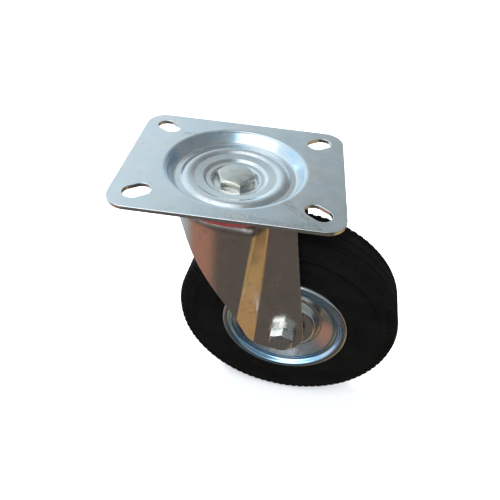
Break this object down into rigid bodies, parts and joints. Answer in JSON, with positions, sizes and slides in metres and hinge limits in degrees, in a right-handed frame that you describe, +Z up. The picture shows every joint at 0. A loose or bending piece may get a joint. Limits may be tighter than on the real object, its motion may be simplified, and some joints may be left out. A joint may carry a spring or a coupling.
{
  "type": "swivel plate castor",
  "caption": "Swivel castor: slotted steel top plate over a double ball race, a stepped pressed fork, and a solid black rubber tyre on a pressed steel rim.",
  "frame": {"origin": "centre of the top plate's upper face, on the swivel axis", "axes": "+Z up out of the plate, along the swivel axis; +X along the plate's long side, towards which the wheel trails at rest; +Y along its short side, towards the axle nut"},
  "size_m": [0.1533, 0.085, 0.1562],
  "materials": {
    "plate_zinc": "pale blue bright zinc plating on pressed steel",
    "fork_zinc": "bright zinc plating with a faint yellow and pink tint",
    "rim_zinc": "bright zinc plating with a blue tint in the gutter",
    "bolt_zinc": "zinc plated fastener",
    "bearing_steel": "ground and greased bearing steel",
    "tyre_rubber": "dull black rubber with fine cross ribs at the shoulders",
    "seal_red": "dark red plastic",
    "nylon": "off-white nylon"
  },
  "bodies": {
    "plate": {"top_plate": "plate_zinc", "kingpin_bolt": "bolt_zinc", "lower_race_cup": "fork_zinc", "kingpin_washer": "bolt_zinc", "kingpin_spring_washer": "bolt_zinc", "kingpin_nut": "bolt_zinc"},
    "ball_rows": {"upper_race_balls": "bearing_steel", "lower_race_balls": "bearing_steel"},
    "fork": {"fork": "fork_zinc", "dust_seal_ring": "seal_red", "axle_bolt": "bolt_zinc", "axle_washers": "bolt_zinc", "axle_nut": "bolt_zinc", "axle_nut_insert": "nylon", "axle_bush": "bearing_steel", "thrust_washers": "bolt_zinc"},
    "wheel": {"tyre": "tyre_rubber", "rim_disc_near": "rim_zinc", "rim_disc_far": "rim_zinc", "hub_tube": "rim_zinc", "bearing_rollers": "bearing_steel", "roller_cage": "nylon"}
  },
  "joints": [
    {"name": "swivel", "type": "hinge", "parent": "plate", "child": "fork", "pos_m": [0, 0, 0], "axis": [0, 0, 1], "continuous": true},
    {"name": "wheel_spin", "type": "hinge", "parent": "fork", "child": "wheel", "pos_m": [0.03644, -0.00338, -0.0925], "axis": [0.0924, 0.9957, 0], "continuous": true},
    {"name": "balls_roll", "type": "hinge", "parent": "plate", "child": "ball_rows", "pos_m": [0, 0, 0], "axis": [0, 0, 1], "continuous": true}
  ],
  "couplings": [
    {"joint": "balls_roll", "follows": "swivel", "ratio": 0.5}
  ]
}
